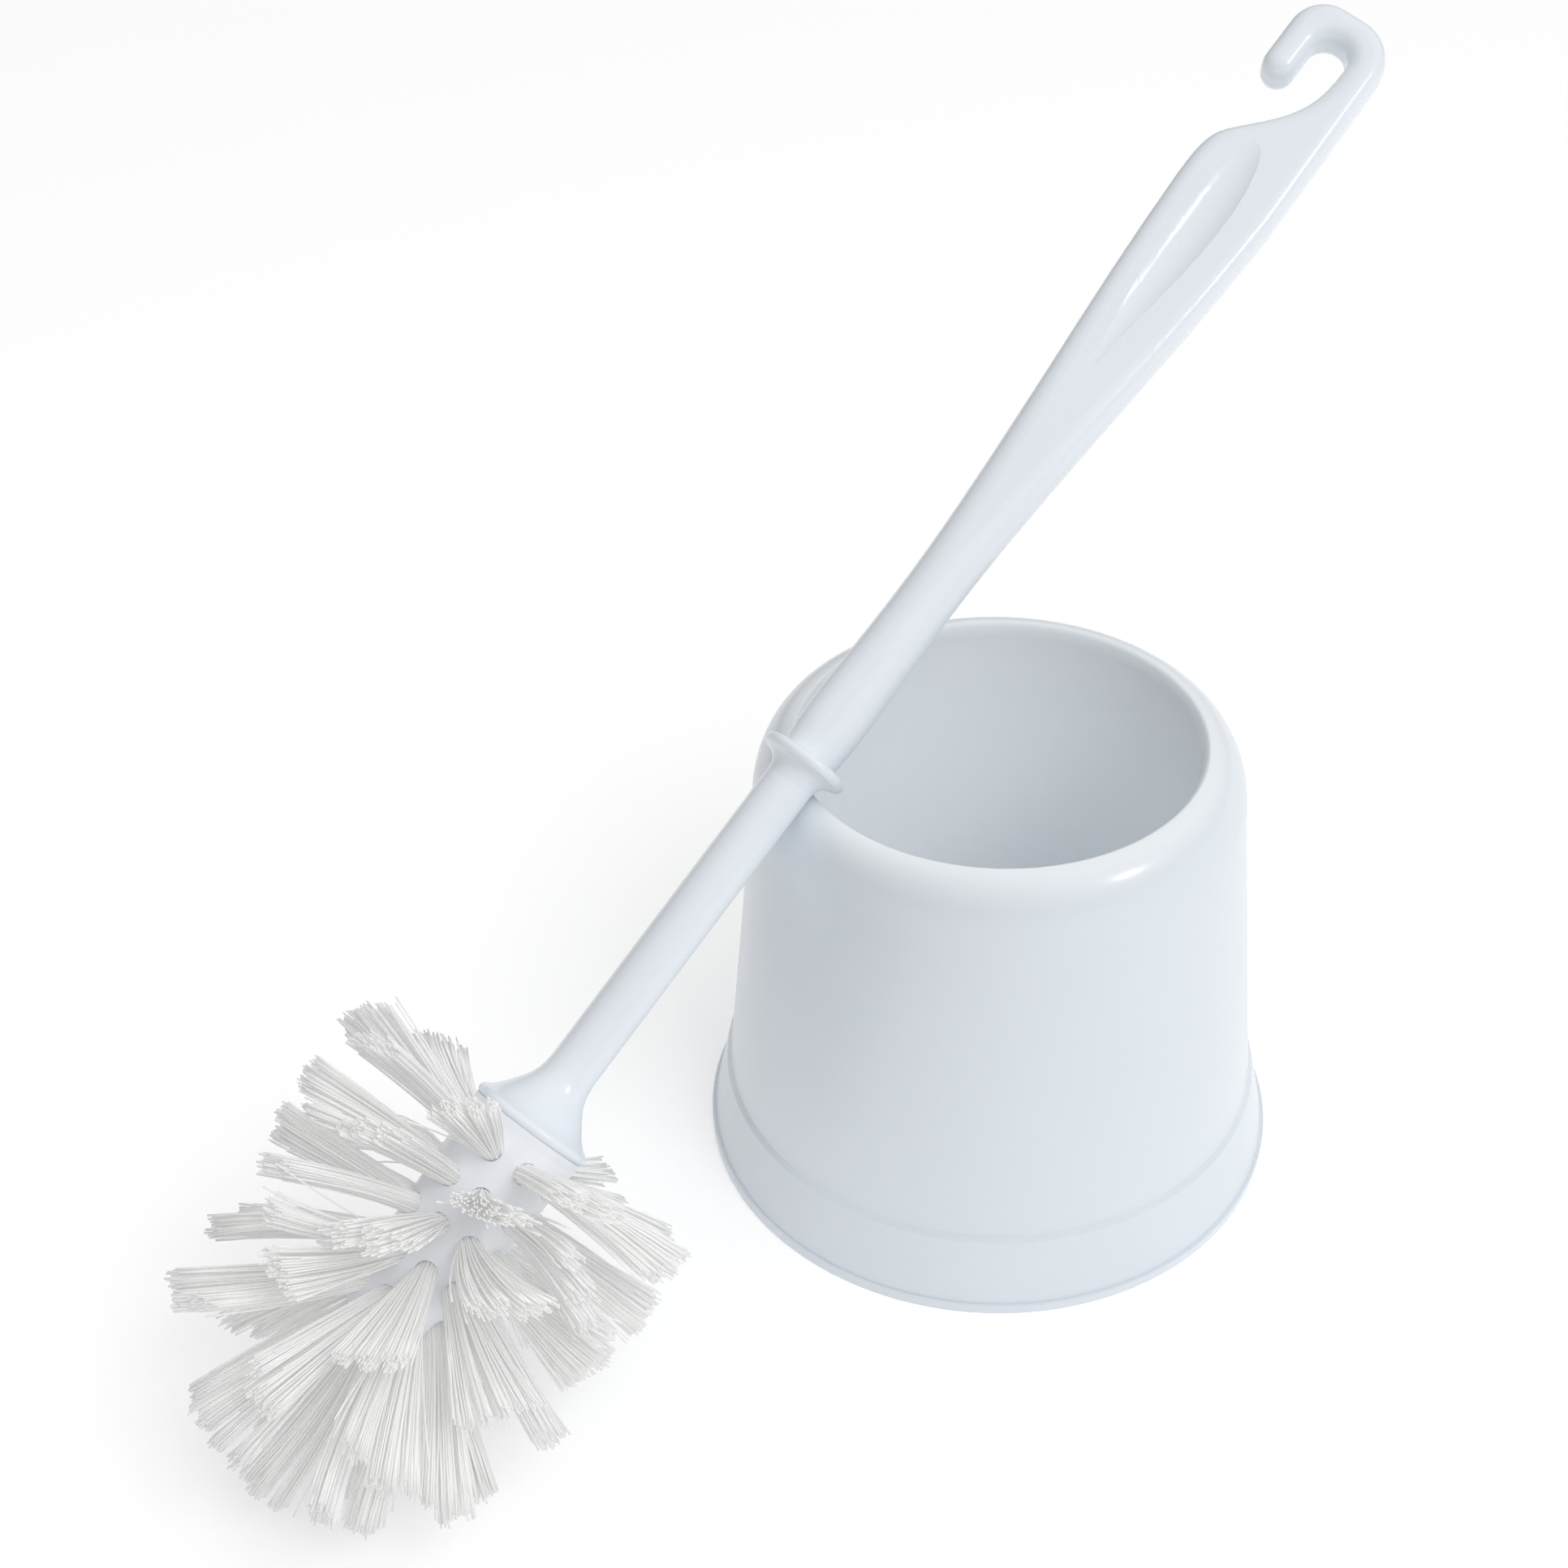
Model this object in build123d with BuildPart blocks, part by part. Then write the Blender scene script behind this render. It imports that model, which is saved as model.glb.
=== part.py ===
from build123d import *
import math
import os

os.makedirs("parts", exist_ok=True)

# Toilet brush and its holder, in mm. The holder stands on the floor at z = 0 with its axis on Z.
# The brush leans outside it: its shaft lies on the rim and its bristles rest on the floor.

# ---- holder: one double-walled moulding, open underneath between its two walls ----
bead_r = 65.0        # bead around the bottom edge
bead_h = 2.2
foot_r = 64.3        # flared foot band, bottom and top
foot_top_r = 60.8
foot_top_z = 18.0
wall_r = 59.8        # the wall starts a step inside the foot band
wall_z = 19.3
rim_r = 52.3         # the wall's top, where the rolled rim starts
rim_z = 92.0
top_z = 107.4        # crest of the rim
crest_r = 43.6
mouth_r = 42.0       # inside edge of the rim
lip_drop = 4.1
bowl_r = 31.0        # bowl's radius above its rounded bottom corner
corner_r = 8.0
wall_t = 2.4

# ---- brush pose: the collar's centre, and the axis from the head up to the hook ----
collar_at = (-38.8, -21.2, 114.9)
lean_azimuth = 49.3
lean_rise = 32.0
spine_roll = -26.0   # turn of the flat grip about the axis, from level

# ---- handle, measured along its own axis from the collar ----
shaft_r = 5.2
bell_z = -90.1       # the bell's bead
bell_r = 12.3
bead_swell = 0.7
collar_r = 9.6
neck_r = 5.8         # round handle just above the collar
grip_t = 9.6
grip_w = 23.1
grip_top_z = 146.0   # the grip's full width ends, the shoulder and hook start
edge_r = 3.4
seam = 0.04          # the grip stands this much proud of the shoulder where they meet
spine_x = 10.9
bar_w = 7.25         # width of the hook's bar
hook_top_z = 194.8
hook_tip_z = 174.0
gap_x = -0.45        # centre of the hook's gap
gap_r = 4.05
gap_z = 183.6
thumb_low_z = 100.0  # teardrop hollow for the thumb
thumb_top_z = 160.0
thumb_depth = 1.7
thumb_half_w = 4.3
socket_r = 4.2        # socket in the bell for the spigot of the head
socket_depth = 9.0

# ---- brush head: a tapered core with rings of tufts ----
core_r = 12.4
core_end_r = 10.2
core_len = 52.0
core_dome = 7.0
lip = 0.3            # the core meets the bell with a faint flare
lip_h = 2.0
hole_r = 2.3
hole_depth = 3.5
tip_hole_depth = 2.5
tuft_r = 2.2
fan_wide = 7.5       # half-width of a tuft's spread end, around the head
fan_thick = 4.5      # half-width of the spread end, along the head
tufts_per_ring = 9
ring_turn = 24.0     # turns of the rings about the axis, degrees
tip_turn = 4.0
# each ring: distance below the bead, lean towards the tip in degrees, radius and distance of its ends
rings = [(8.2, -10.0, 41.0), (17.0, 0.0, 41.0), (25.8, 10.0, 41.0), (34.6, 24.0, 39.5), (43.4, 42.0, 36.1)]
tip_tufts = 6
tip_ring = (50.3, 64.0, 22.0)
tip_root_r = 6.6
tip_end = 89.0

az = math.radians(lean_azimuth)
rise = math.radians(lean_rise)
roll = math.radians(spine_roll)
up_axis = Vector(math.cos(rise) * math.cos(az), math.cos(rise) * math.sin(az), math.sin(rise))
level = Vector(math.sin(az), -math.cos(az), 0)
steep = level.cross(up_axis)
spine_dir = level * math.cos(roll) + steep * math.sin(roll)
brush_plane = Plane(origin=collar_at, x_dir=spine_dir, z_dir=up_axis)


def core_radius(below):
    """Radius of the core at a distance below the bell's bead."""
    straight = core_len - core_dome
    if below <= straight:
        return core_r + (core_end_r - core_r) * max(below, 0.0) / straight
    rest = min((below - straight) / core_dome, 1.0)
    return core_end_r * math.sqrt(1.0 - rest * rest)


# ---- holder ----
with BuildPart() as holder:
    with BuildSketch(Plane.XZ):
        with BuildLine():
            Polyline(
                (0, 0), (bead_r, 0), (bead_r, bead_h), (foot_r, bead_h),
                (foot_top_r, foot_top_z), (wall_r, wall_z), (rim_r, rim_z),
            )
            EllipticalCenterArc((crest_r, rim_z), rim_r - crest_r, top_z - rim_z, start_angle=0, arc_size=90)
            EllipticalCenterArc(
                (crest_r, top_z - lip_drop), crest_r - mouth_r, lip_drop, start_angle=90, arc_size=90
            )
            Line((mouth_r, top_z - lip_drop), (bowl_r, wall_t + corner_r))
            RadiusArc((bowl_r, wall_t + corner_r), (bowl_r - corner_r, wall_t), corner_r)
            Polyline((bowl_r - corner_r, wall_t), (0, wall_t), (0, 0))
        make_face()
        # the space between the walls
        with BuildLine():
            Polyline(
                (bowl_r - corner_r, 0), (bead_r - wall_t, 0), (foot_top_r - wall_t, foot_top_z),
                (wall_r - wall_t, wall_z), (rim_r - wall_t, rim_z),
            )
            EllipticalCenterArc(
                (crest_r + 0.6, rim_z), rim_r - wall_t - crest_r - 0.6, top_z - rim_z - wall_t - 0.2,
                start_angle=0, arc_size=90
            )
            Polyline(
                (crest_r + 0.6, top_z - wall_t - 0.2),
                (mouth_r + wall_t, top_z - lip_drop - 1.0),
                (bowl_r + wall_t, wall_t + corner_r),
            )
            RadiusArc(
                (bowl_r + wall_t, wall_t + corner_r), (bowl_r - corner_r, 0), corner_r + wall_t
            )
        make_face(mode=Mode.SUBTRACT)
    revolve(axis=Axis.Z)
holder.part.label = "holder"

# ---- shoulder, neck and hook, one flat bar with full rounded edges ----
outer_r = 9.6
left_r = 7.8
bar_left_x = gap_x - gap_r - bar_w
tip_x = bar_left_x + bar_w / 2
half_w = grip_w / 2
with BuildPart() as hook:
    with BuildSketch(Plane.XZ):
        with BuildLine():
            Polyline(
                (-half_w, grip_top_z), (half_w, grip_top_z), (spine_x, hook_top_z - outer_r)
            )
            RadiusArc(
                (spine_x, hook_top_z - outer_r), (spine_x - outer_r, hook_top_z), -outer_r
            )
            Line((spine_x - outer_r, hook_top_z), (bar_left_x + left_r, hook_top_z))
            RadiusArc(
                (bar_left_x + left_r, hook_top_z), (bar_left_x, hook_top_z - left_r), -left_r
            )
            Line((bar_left_x, hook_top_z - left_r), (bar_left_x, hook_tip_z + bar_w / 2))
            RadiusArc(
                (bar_left_x, hook_tip_z + bar_w / 2), (bar_left_x + bar_w, hook_tip_z + bar_w / 2),
                -bar_w / 2
            )
            Line((bar_left_x + bar_w, hook_tip_z + bar_w / 2), (gap_x - gap_r, gap_z))
            RadiusArc((gap_x - gap_r, gap_z), (gap_x + gap_r, gap_z), gap_r)
            Spline(
                (gap_x + gap_r, gap_z), (1.4, 171.6), (-7.9, 160.2), (-half_w, 148.5),
                tangents=[(0, -1), (0, -1)]
            )
            Line((-half_w, 148.5), (-half_w, grip_top_z))
        make_face()
    extrude(amount=grip_t / 2, both=True)
    rounded = [
        e for e in hook.faces().sort_by(Axis.Y)[0].edges() + hook.faces().sort_by(Axis.Y)[-1].edges()
        if e.center().Z > grip_top_z + 0.1
    ]
    fillet(rounded, edge_r)

# ---- handle: bell, shaft, collar, grip and hook in one piece ----
with BuildPart() as handle:
    with BuildSketch(Plane.XZ):
        with BuildLine():
            # bell's bead, then the concave flare up to the shaft
            Polyline((0, bell_z - 1.3), (bell_r, bell_z - 1.3))
            ThreePointArc(
                (bell_r, bell_z - 1.3), (bell_r + bead_swell, bell_z - 0.2), (bell_r, bell_z + 0.9)
            )
            Spline(
                (bell_r, bell_z + 0.9), (9.2, bell_z + 3.8), (6.4, bell_z + 7.9), (shaft_r, bell_z + 15.0),
                tangents=[(-1, 0.45), (0, 1)]
            )
            Line((shaft_r, bell_z + 15.0), (shaft_r, -5.5))
            # collar, dished on its head side
            Spline(
                (shaft_r, -5.5), (shaft_r + 0.9, -2.6), (collar_r - 1.1, -1.3),
                tangents=[(0, 1), (1, 0.22)]
            )
            ThreePointArc(
                (collar_r - 1.1, -1.3), (collar_r, -0.1), (collar_r - 0.9, 1.0)
            )
            Polyline((collar_r - 0.9, 1.0), (neck_r - 1.0, 1.6), (0, 1.6), (0, bell_z - 1.3))
        make_face()
    revolve(axis=Axis.Z)
    # the handle turns from round to a wide flat grip
    for z, w, t, r in [
        (0.2, 2 * neck_r, 11.6, 5.75), (40.0, 12.0, 11.5, 5.7), (58.0, 12.7, 11.3, 5.3),
        (74.0, 14.3, 11.0, 4.8), (92.0, 16.7, 10.6, 4.3), (112.0, 19.6, 10.1, 3.8),
        (130.0, 21.8, 9.8, 3.5),
        (grip_top_z, grip_w + 2 * seam, grip_t + 2 * seam, edge_r + seam),
    ]:
        with BuildSketch(Plane.XY.offset(z)):
            RectangleRounded(w, t, r)
    loft()
    add(hook.part)
    # thumb hollow: a slim spindle whose axis stands off the grip's face
    reach = (thumb_half_w**2 + thumb_depth**2) / (2 * thumb_depth)
    stand = reach - thumb_depth
    axis_y = -grip_t / 2 - stand
    with BuildSketch(Plane.YZ.offset(-1.2)):
        with BuildLine():
            Spline(
                (axis_y + stand - 0.25, thumb_low_z), (axis_y + reach - 0.55, 124.0),
                (axis_y + reach, 147.0), (axis_y + stand - 0.25, thumb_top_z)
            )
            Polyline(
                (axis_y + stand - 0.25, thumb_top_z), (axis_y, thumb_top_z), (axis_y, thumb_low_z),
                (axis_y + stand - 0.25, thumb_low_z)
            )
        make_face()
    revolve(axis=Axis((-1.2, axis_y, 0), (0, 0, 1)), mode=Mode.SUBTRACT)
    # socket for the head's spigot
    with BuildSketch(Plane.XY.offset(bell_z - 1.3)):
        Circle(socket_r)
    extrude(amount=socket_depth, mode=Mode.SUBTRACT)
handle.part.label = "handle"

# ---- head core with a spigot pressed into the bell, and a blind hole for every tuft ----
bead_face = bell_z - 1.3


def tuft_frames():
    """Root and end of every tuft's centre line, in the brush's own frame."""
    frames = []
    for n, (below, lean, end_r) in enumerate(rings):
        t = math.radians(lean)
        root_r = core_radius(below)
        length = (end_r - root_r) / math.cos(t)
        for i in range(tufts_per_ring):
            a = 2 * math.pi * (i + 0.5 * (n % 2)) / tufts_per_ring + math.radians(ring_turn)
            out = Vector(math.cos(a), math.sin(a), 0)
            way = out * math.cos(t) - Vector(0, 0, math.sin(t))
            root = out * root_r + Vector(0, 0, bell_z - below)
            frames.append((root, way, length, hole_depth, fan_wide, fan_thick))
    below, lean, end_r = tip_ring
    t = math.radians(lean)
    length = (end_r - tip_root_r) / math.cos(t)
    for i in range(tip_tufts):
        a = 2 * math.pi * i / tip_tufts + math.radians(tip_turn)
        out = Vector(math.cos(a), math.sin(a), 0)
        way = out * math.cos(t) - Vector(0, 0, math.sin(t))
        root = out * tip_root_r + Vector(0, 0, bell_z - below)
        frames.append((root, way, length, tip_hole_depth, 6.0, fan_thick))
    root = Vector(0, 0, bell_z - core_len)
    frames.append((root, Vector(0, 0, -1), tip_end - core_len, tip_hole_depth, 5.5, 5.5))
    return frames


with BuildPart() as head_core:
    with BuildSketch(Plane.XZ):
        with BuildLine():
            Polyline(
                (0, bead_face + socket_depth - 0.5), (socket_r - 0.6, bead_face + socket_depth - 0.5),
                (socket_r, bead_face + socket_depth - 1.3), (socket_r, bead_face),
                (core_r + lip, bead_face), (core_r, bead_face - lip_h),
                (core_end_r, bell_z - core_len + core_dome),
            )
            EllipticalCenterArc(
                (0, bell_z - core_len + core_dome), core_end_r, core_dome, start_angle=270, arc_size=90
            )
            Line((0, bell_z - core_len), (0, bead_face + socket_depth - 0.5))
        make_face()
    revolve(axis=Axis.Z)
    for root, way, length, depth, wide, thick in tuft_frames():
        with BuildSketch(Plane(origin=root + way * 3, z_dir=way)):
            Circle(hole_r)
        extrude(amount=-3 - depth, mode=Mode.SUBTRACT)
head_core.part.label = "head_core"

# ---- tufts: a round bundle in its hole, spread to a fan at its trimmed end ----
tufts = []
for n, (root, way, length, depth, wide, thick) in enumerate(tuft_frames(), 1):
    around = Vector(0, 0, 1).cross(way)
    if around.length < 0.1:
        around = Vector(1, 0, 0)
    with BuildPart() as tuft:
        with BuildSketch(Plane(origin=root - way * depth, x_dir=around, z_dir=way)):
            Circle(tuft_r)
        extrude(amount=depth + 2)
        with BuildSketch(Plane(origin=root + way * 2, x_dir=around, z_dir=way)):
            Circle(tuft_r)
        with BuildSketch(Plane(origin=root + way * length, x_dir=around, z_dir=way)):
            Ellipse(wide, thick)
        loft()
    tuft.part.label = f"tuft_{n:02d}"
    tufts.append(tuft.part)

# ---- export, with the brush laid against the rim ----
place = brush_plane.location
pieces = [holder.part]
for piece in [handle.part, head_core.part] + tufts:
    placed = place * piece
    placed.label = piece.label
    pieces.append(placed)
for piece in pieces:
    export_step(piece, f"parts/{piece.label}.step")
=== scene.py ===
import math

import bpy
import numpy as np
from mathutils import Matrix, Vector


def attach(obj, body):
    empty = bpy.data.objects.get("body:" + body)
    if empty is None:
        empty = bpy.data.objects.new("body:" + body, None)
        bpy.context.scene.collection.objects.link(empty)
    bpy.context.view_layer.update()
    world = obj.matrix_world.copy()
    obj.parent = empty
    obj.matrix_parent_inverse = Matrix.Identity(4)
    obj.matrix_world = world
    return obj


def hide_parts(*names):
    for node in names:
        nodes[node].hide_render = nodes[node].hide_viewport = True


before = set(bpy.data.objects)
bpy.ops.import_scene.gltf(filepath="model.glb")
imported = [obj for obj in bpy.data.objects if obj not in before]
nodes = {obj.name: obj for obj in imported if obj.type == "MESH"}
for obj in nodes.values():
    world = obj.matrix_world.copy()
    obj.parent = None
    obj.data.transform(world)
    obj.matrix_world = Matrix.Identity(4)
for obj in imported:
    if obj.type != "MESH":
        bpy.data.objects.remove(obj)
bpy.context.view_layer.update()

scene = bpy.context.scene


# radii in metres between which the holder's colour turns from the bowl's paler tone (painted light) to
# the wall's
BOWL_R = 0.0418
CREST_R = 0.0515


# ---------------------------------------------------------------- materials

def new_material(name):
    mat = bpy.data.materials.new(name)
    mat.use_nodes = True
    tree = mat.node_tree
    shader = tree.nodes["Principled BSDF"]
    return mat, tree, shader


def link(tree, a, b):
    tree.links.new(a, b)


def noise(tree, scale, detail=3.0, rough=0.5):
    coord = tree.nodes.new("ShaderNodeTexCoord")
    tex = tree.nodes.new("ShaderNodeTexNoise")
    tex.inputs["Scale"].default_value = scale
    tex.inputs["Detail"].default_value = detail
    tex.inputs["Roughness"].default_value = rough
    link(tree, coord.outputs["Object"], tex.inputs["Vector"])
    return tex


def spread(tree, source, low, high):
    node = tree.nodes.new("ShaderNodeMapRange")
    node.inputs["To Min"].default_value = low
    node.inputs["To Max"].default_value = high
    link(tree, source, node.inputs["Value"])
    return node.outputs["Result"]


def moulded_plastic(name, colour, rough_low, rough_high, waviness):
    """Glossy moulded plastic: faint tone drift, uneven gloss and a very shallow orange peel."""
    mat, tree, shader = new_material(name)
    drift = noise(tree, 14.0, 2.0)
    ramp = tree.nodes.new("ShaderNodeValToRGB")
    ramp.color_ramp.elements[0].position = 0.3
    ramp.color_ramp.elements[1].position = 0.7
    ramp.color_ramp.elements[0].color = [c * 0.975 for c in colour] + [1.0]
    ramp.color_ramp.elements[1].color = [min(1.0, c * 1.01) for c in colour] + [1.0]
    link(tree, drift.outputs["Fac"], ramp.inputs["Fac"])
    link(tree, ramp.outputs["Color"], shader.inputs["Base Color"])
    gloss = noise(tree, 60.0, 4.0)
    link(tree, spread(tree, gloss.outputs["Fac"], rough_low, rough_high), shader.inputs["Roughness"])
    peel = noise(tree, 350.0, 2.0)
    bump = tree.nodes.new("ShaderNodeBump")
    bump.inputs["Strength"].default_value = waviness
    bump.inputs["Distance"].default_value = 0.0002
    link(tree, peel.outputs["Fac"], bump.inputs["Height"])
    link(tree, bump.outputs["Normal"], shader.inputs["Normal"])
    shader.inputs["IOR"].default_value = 1.5
    return mat


def paint_bowl_light(mat):
    """Painted light: the bowl's inside gets a paler colour than the outer wall, from just inside the
    rim's crest down, standing in for the light that fills the bowl.
    """
    tree = mat.node_tree
    shader = tree.nodes["Principled BSDF"]
    outer = shader.inputs["Base Color"].links[0].from_socket
    coord = tree.nodes.new("ShaderNodeTexCoord")
    flat = tree.nodes.new("ShaderNodeVectorMath")
    flat.operation = "MULTIPLY"
    flat.inputs[1].default_value = (1.0, 1.0, 0.0)
    radius = tree.nodes.new("ShaderNodeVectorMath")
    radius.operation = "LENGTH"
    inside = tree.nodes.new("ShaderNodeMapRange")
    inside.interpolation_type = "SMOOTHSTEP"
    inside.inputs["From Min"].default_value = BOWL_R
    inside.inputs["From Max"].default_value = CREST_R
    inside.inputs["To Min"].default_value = 1.0
    inside.inputs["To Max"].default_value = 0.0
    # painted light: the pale colour mixed into the bowl's inside
    mix = tree.nodes.new("ShaderNodeMixRGB")
    mix.inputs["Color2"].default_value = (0.935, 0.97, 1.0, 1.0)
    link(tree, coord.outputs["Object"], flat.inputs[0])
    link(tree, flat.outputs["Vector"], radius.inputs[0])
    link(tree, radius.outputs["Value"], inside.inputs["Value"])
    link(tree, inside.outputs["Result"], mix.inputs["Fac"])
    link(tree, outer, mix.inputs["Color1"])
    link(tree, mix.outputs["Color"], shader.inputs["Base Color"])


holder_mat = moulded_plastic("holder_plastic", (0.775, 0.83, 0.885), 0.20, 0.28, 0.05)
paint_bowl_light(holder_mat)
brush_mat = moulded_plastic("brush_plastic", (0.85, 0.90, 0.955), 0.18, 0.26, 0.05)
core_mat = moulded_plastic("core_plastic", (0.90, 0.92, 0.965), 0.26, 0.34, 0.05)


def bristle_material():
    """Nylon filaments: near-white, satin, each strand a slightly different tone, with a faint painted
    glow.
    """
    mat, tree, shader = new_material("bristle_nylon")
    strand = tree.nodes.new("ShaderNodeAttribute")
    strand.attribute_name = "strand"
    ramp = tree.nodes.new("ShaderNodeValToRGB")
    ramp.color_ramp.elements[0].color = (0.90, 0.90, 0.895, 1.0)
    ramp.color_ramp.elements[1].color = (0.98, 0.98, 0.975, 1.0)
    link(tree, strand.outputs["Fac"], ramp.inputs["Fac"])
    link(tree, ramp.outputs["Color"], shader.inputs["Base Color"])
    along = noise(tree, 220.0, 2.0)
    link(tree, spread(tree, along.outputs["Fac"], 0.3, 0.5), shader.inputs["Roughness"])
    shader.inputs["IOR"].default_value = 1.5
    # painted light: the filaments glow faintly, standing in for light passing through the translucent
    # nylon
    shader.inputs["Emission Color"].default_value = (1.0, 1.0, 0.99, 1.0)
    shader.inputs["Emission Strength"].default_value = 0.09
    return mat


bristle_mat = bristle_material()


def floor_material():
    """Plain pale floor, lit a little from within so that it stays white."""
    mat, tree, shader = new_material("floor_pale")
    shader.inputs["Base Color"].default_value = (0.96, 0.96, 0.96, 1.0)
    shader.inputs["Emission Color"].default_value = (1.0, 1.0, 1.0, 1.0)
    shader.inputs["Emission Strength"].default_value = 0.24
    shader.inputs["Roughness"].default_value = 0.9
    shader.inputs["Specular IOR Level"].default_value = 0.1
    return mat


# ---------------------------------------------------------------- moulded pieces

def dress(node, mat):
    mesh = nodes[node].data
    mesh.materials.clear()
    mesh.materials.append(mat)


dress("holder", holder_mat)
dress("handle", brush_mat)
dress("head_core", core_mat)


# ---------------------------------------------------------------- bristles

def tuft_line(node):
    """Root, end and widest direction of a CAD tuft, read from its mesh."""
    v = np.array([x.co[:] for x in nodes[node].data.vertices])
    axis = np.linalg.svd(v - v.mean(0), full_matrices=False)[2][0]
    t = (v - v.mean(0)) @ axis
    caps = [v[t < t.min() + CAP_BAND], v[t > t.max() - CAP_BAND]]
    size = [np.linalg.norm(c - c.mean(0), axis=1).max() for c in caps]
    if size[0] > size[1]:
        caps.reverse()
    root, end = caps[0].mean(0), caps[1].mean(0)
    way = (end - root) / np.linalg.norm(end - root)
    wide = np.linalg.svd(caps[1] - end, full_matrices=False)[2][0]
    wide = wide - way * (wide @ way)
    return root, end, wide / np.linalg.norm(wide)


STRANDS = 120
SPANS = 6
SIDES = 4
STRAND_R = 0.00021
BUNDLE_R = 0.0021          # the bundle where it leaves its hole
HELD = 0.07                # share of the length that stays bundled
FLOOR_CLEAR = 0.0001       # lowest height of a filament above the floor
CAP_BAND = 2e-4            # depth of the slices taken as a CAD tuft's two ends
GOLDEN_ANGLE = 2.399963    # spreads the filaments evenly over a round bundle
CLUMP_PULL = 0.30          # share of the way each filament is drawn to its clump
FAN_HALF = (0.0068, 0.0124)
FAN_THICK = (0.0016, 0.0028)
CURLED_SHARE = 0.2
CURL_GAIN = 2.6
STRAY_SHARE = 0.03
STRAY_GAIN = (1.3, 1.9)
SHORT_SHARE = 0.06


def strand_ends(rng):
    """Places of the strands over the tuft's cut end, as clumps with small gaps between them."""
    clumps = np.sort(rng.uniform(-1.0, 1.0, rng.integers(4, 8)))
    offsets = rng.normal(0, 0.0009, len(clumps))
    ends = []
    for k in range(STRANDS):
        r = math.sqrt((k + 0.5) / STRANDS)
        a = k * GOLDEN_ANGLE
        x, y = r * math.cos(a), r * math.sin(a)
        near = int(np.argmin(abs(clumps - x)))
        pulled = x + (clumps[near] - x) * CLUMP_PULL + rng.normal(0, 0.025)
        ends.append((x, y, pulled, y + rng.normal(0, 0.12), offsets[near]))
    return ends


def bristle_tuft(node, seed):
    """One tuft of filaments along a CAD tuft's line, riding on the brush in its place."""
    rng = np.random.default_rng(seed)
    root, end, wide = tuft_line(node)
    way = (end - root) / np.linalg.norm(end - root)
    length = np.linalg.norm(end - root)
    turn = rng.uniform(-0.9, 0.9)
    across = np.cross(way, wide)
    wide, across = (
        wide * math.cos(turn) + across * math.sin(turn), across * math.cos(turn) - wide * math.sin(turn)
    )
    fan = rng.uniform(*FAN_HALF)
    thick = rng.uniform(*FAN_THICK)
    curl = CURL_GAIN if rng.random() < CURLED_SHARE else 1.0
    bend = (wide * rng.normal(0, 0.0013) + across * rng.normal(0, 0.0018)) * curl
    slant = rng.normal(0, 0.0014)
    verts, faces, tones = [], [], []
    for x, y, end_x, end_y, offset in strand_ends(rng):
        at_root = (wide * x + across * y) * BUNDLE_R
        stray = rng.uniform(*STRAY_GAIN) if rng.random() < STRAY_SHARE else 1.0
        at_end = (wide * end_x * fan + across * end_y * thick) * stray
        reach = length * (1.0 - 0.04 * end_x * end_x) + slant * end_x + offset + rng.normal(0, 0.0004)
        if rng.random() < SHORT_SHARE:
            reach -= abs(rng.normal(0, 0.003))
        sway = (wide * rng.normal(0, 1) + across * rng.normal(0, 1)) * 0.00012
        path = []
        for i in range(SPANS + 1):
            t = i / SPANS
            free = max(0.0, (t - HELD) / (1 - HELD))
            along = reach * t - 0.5 * np.dot(at_end, at_end) / length * free
            path.append(
                root + way * along + at_root * (1 - free) + at_end * free
                + bend * free ** 2 + sway * math.sin(math.pi * free)
            )
        tone = rng.random()
        base = len(verts)
        for i, p in enumerate(path):
            d = path[min(i + 1, SPANS)] - path[max(i - 1, 0)]
            d = d / np.linalg.norm(d)
            s1 = np.cross(d, across)
            s1 = s1 / np.linalg.norm(s1)
            s2 = np.cross(d, s1)
            for c in range(SIDES):
                angle = 2 * math.pi * c / SIDES
                q = p + (s1 * math.cos(angle) + s2 * math.sin(angle)) * STRAND_R
                verts.append((q[0], q[1], max(q[2], FLOOR_CLEAR)))
                tones.append(tone)
        for i in range(SPANS):
            for c in range(SIDES):
                n = (c + 1) % SIDES
                lo, hi = base + i * SIDES, base + (i + 1) * SIDES
                faces.append((lo + c, lo + n, hi + n, hi + c))
        faces.append(tuple(base + c for c in reversed(range(SIDES))))
        faces.append(tuple(base + SPANS * SIDES + c for c in range(SIDES)))
    mesh = bpy.data.meshes.new("bristles_" + node)
    mesh.from_pydata(verts, [], faces)
    attr = mesh.attributes.new("strand", "FLOAT", "POINT")
    attr.data.foreach_set("value", tones)
    mesh.shade_smooth()
    mesh.materials.append(bristle_mat)
    obj = bpy.data.objects.new("bristles_" + node, mesh)
    scene.collection.objects.link(obj)
    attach(obj, "brush")
    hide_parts(node)


for index, node in enumerate(sorted(n for n in nodes if n.startswith("tuft_"))):
    bristle_tuft(node, 100 + index)


# ---------------------------------------------------------------- floor, lights, camera

FLOOR_HALF = 12.0
mesh = bpy.data.meshes.new("floor")
corners = [(-FLOOR_HALF, -FLOOR_HALF, 0), (FLOOR_HALF, -FLOOR_HALF, 0),
           (FLOOR_HALF, FLOOR_HALF, 0), (-FLOOR_HALF, FLOOR_HALF, 0)]
mesh.from_pydata(corners, [], [(0, 1, 2, 3)])
floor = bpy.data.objects.new("floor", mesh)
mesh.materials.append(floor_material())
scene.collection.objects.link(floor)


def area_light(name, at, look, size, power):
    """Square light at a place, turned to face another."""
    data = bpy.data.lights.new(name, "AREA")
    data.shape = "SQUARE"
    data.size = size
    data.energy = power
    obj = bpy.data.objects.new(name, data)
    obj.location = at
    obj.rotation_euler = (Vector(look) - Vector(at)).to_track_quat("-Z", "Y").to_euler()
    scene.collection.objects.link(obj)
    return obj


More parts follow.
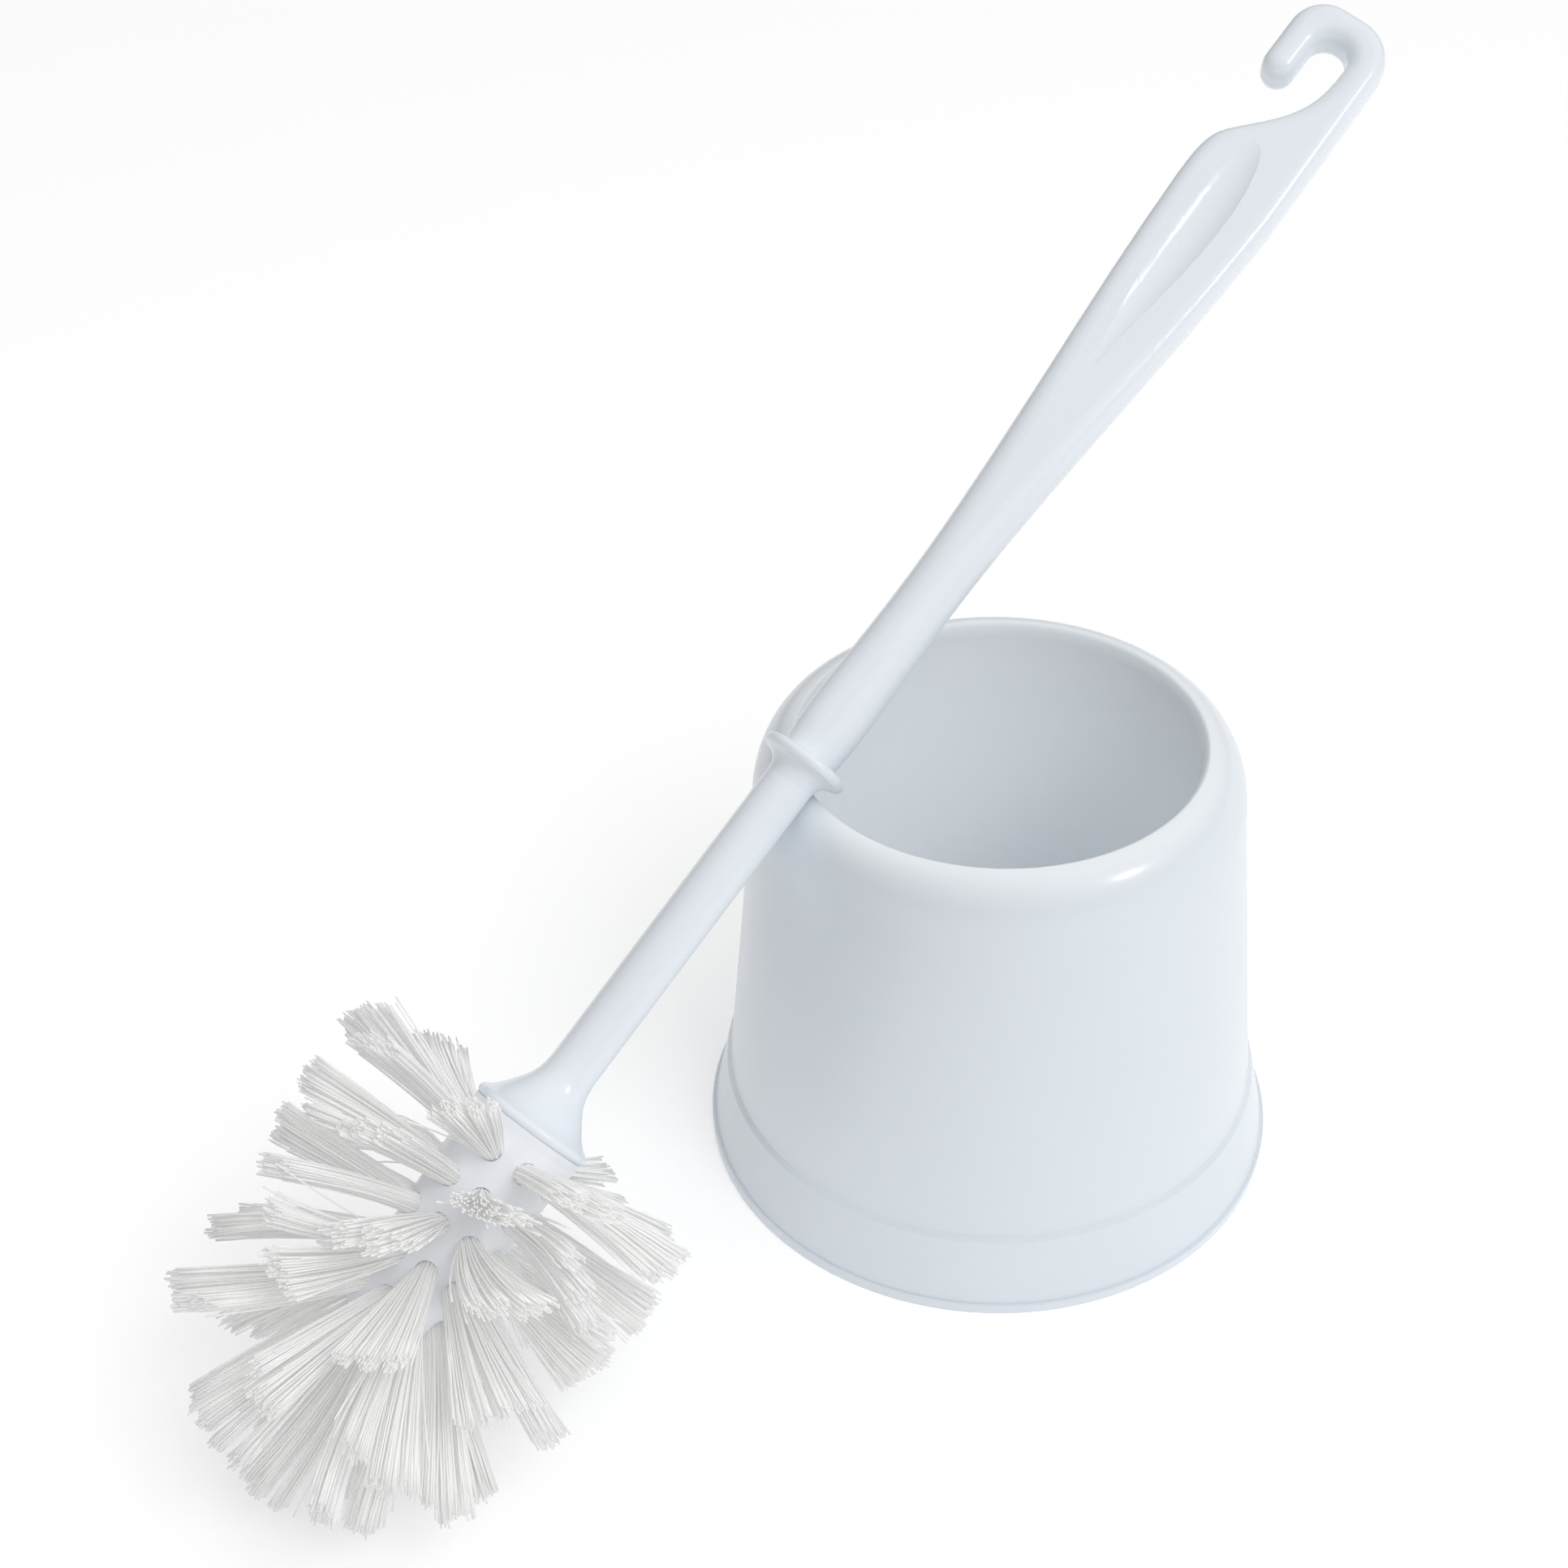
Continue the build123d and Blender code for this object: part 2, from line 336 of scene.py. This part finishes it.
# the soft light shades the object, and the small one only makes the highlights
softbox = area_light("softbox", (0.80, -0.92, 1.50), (0, 0, 0.05), 0.9, 8.2)
softbox.visible_glossy = False
glint = area_light("glint", (1.262, -0.589, 0.975), (0, 0, 0.1), 0.15, 4.5)
glint.visible_diffuse = False


def studio_world():
    """White studio, brightest overhead and brighter on the right. The camera sees a plain white wall."""
    world = bpy.data.worlds.new("studio")
    world.use_nodes = True
    tree = world.node_tree
    coord = tree.nodes.new("ShaderNodeTexCoord")
    slope = tree.nodes.new("ShaderNodeVectorMath")
    slope.operation = "DOT_PRODUCT"
    slope.inputs[1].default_value = (0.24, 0.0, 1.0)
    link(tree, coord.outputs["Generated"], slope.inputs[0])
    level = tree.nodes.new("ShaderNodeMath")
    level.operation = "ADD"
    level.inputs[1].default_value = 0.02
    link(tree, slope.outputs["Value"], level.inputs[0])
    least = tree.nodes.new("ShaderNodeMath")
    least.operation = "MAXIMUM"
    least.inputs[1].default_value = 0.03
    link(tree, level.outputs["Value"], least.inputs[0])
    rays = tree.nodes.new("ShaderNodeLightPath")
    seen = tree.nodes.new("ShaderNodeMix")
    seen.inputs["B"].default_value = 0.93
    link(tree, rays.outputs["Is Camera Ray"], seen.inputs["Factor"])
    link(tree, least.outputs["Value"], seen.inputs["A"])
    tree.nodes["Background"].inputs["Color"].default_value = (1.0, 1.0, 1.0, 1.0)
    link(tree, seen.outputs["Result"], tree.nodes["Background"].inputs["Strength"])
    scene.world = world


studio_world()
scene.view_settings.view_transform = "Standard"

CAMERA_AT = (0.0, -0.3874, 0.3917)
CAMERA_TURN = (50.31, 2.15, 6.08)       # degrees about X, Y and Z
camera_data = bpy.data.cameras.new("camera")
camera = bpy.data.objects.new("camera", camera_data)
scene.collection.objects.link(camera)
camera.location = CAMERA_AT
camera.rotation_euler = [math.radians(angle) for angle in CAMERA_TURN]
camera_data.sensor_width = 36.0
camera_data.lens = 52.43
camera_data.shift_x = 0.0205
camera_data.shift_y = 0.0568
camera_data.clip_start = 0.01
scene.camera = camera
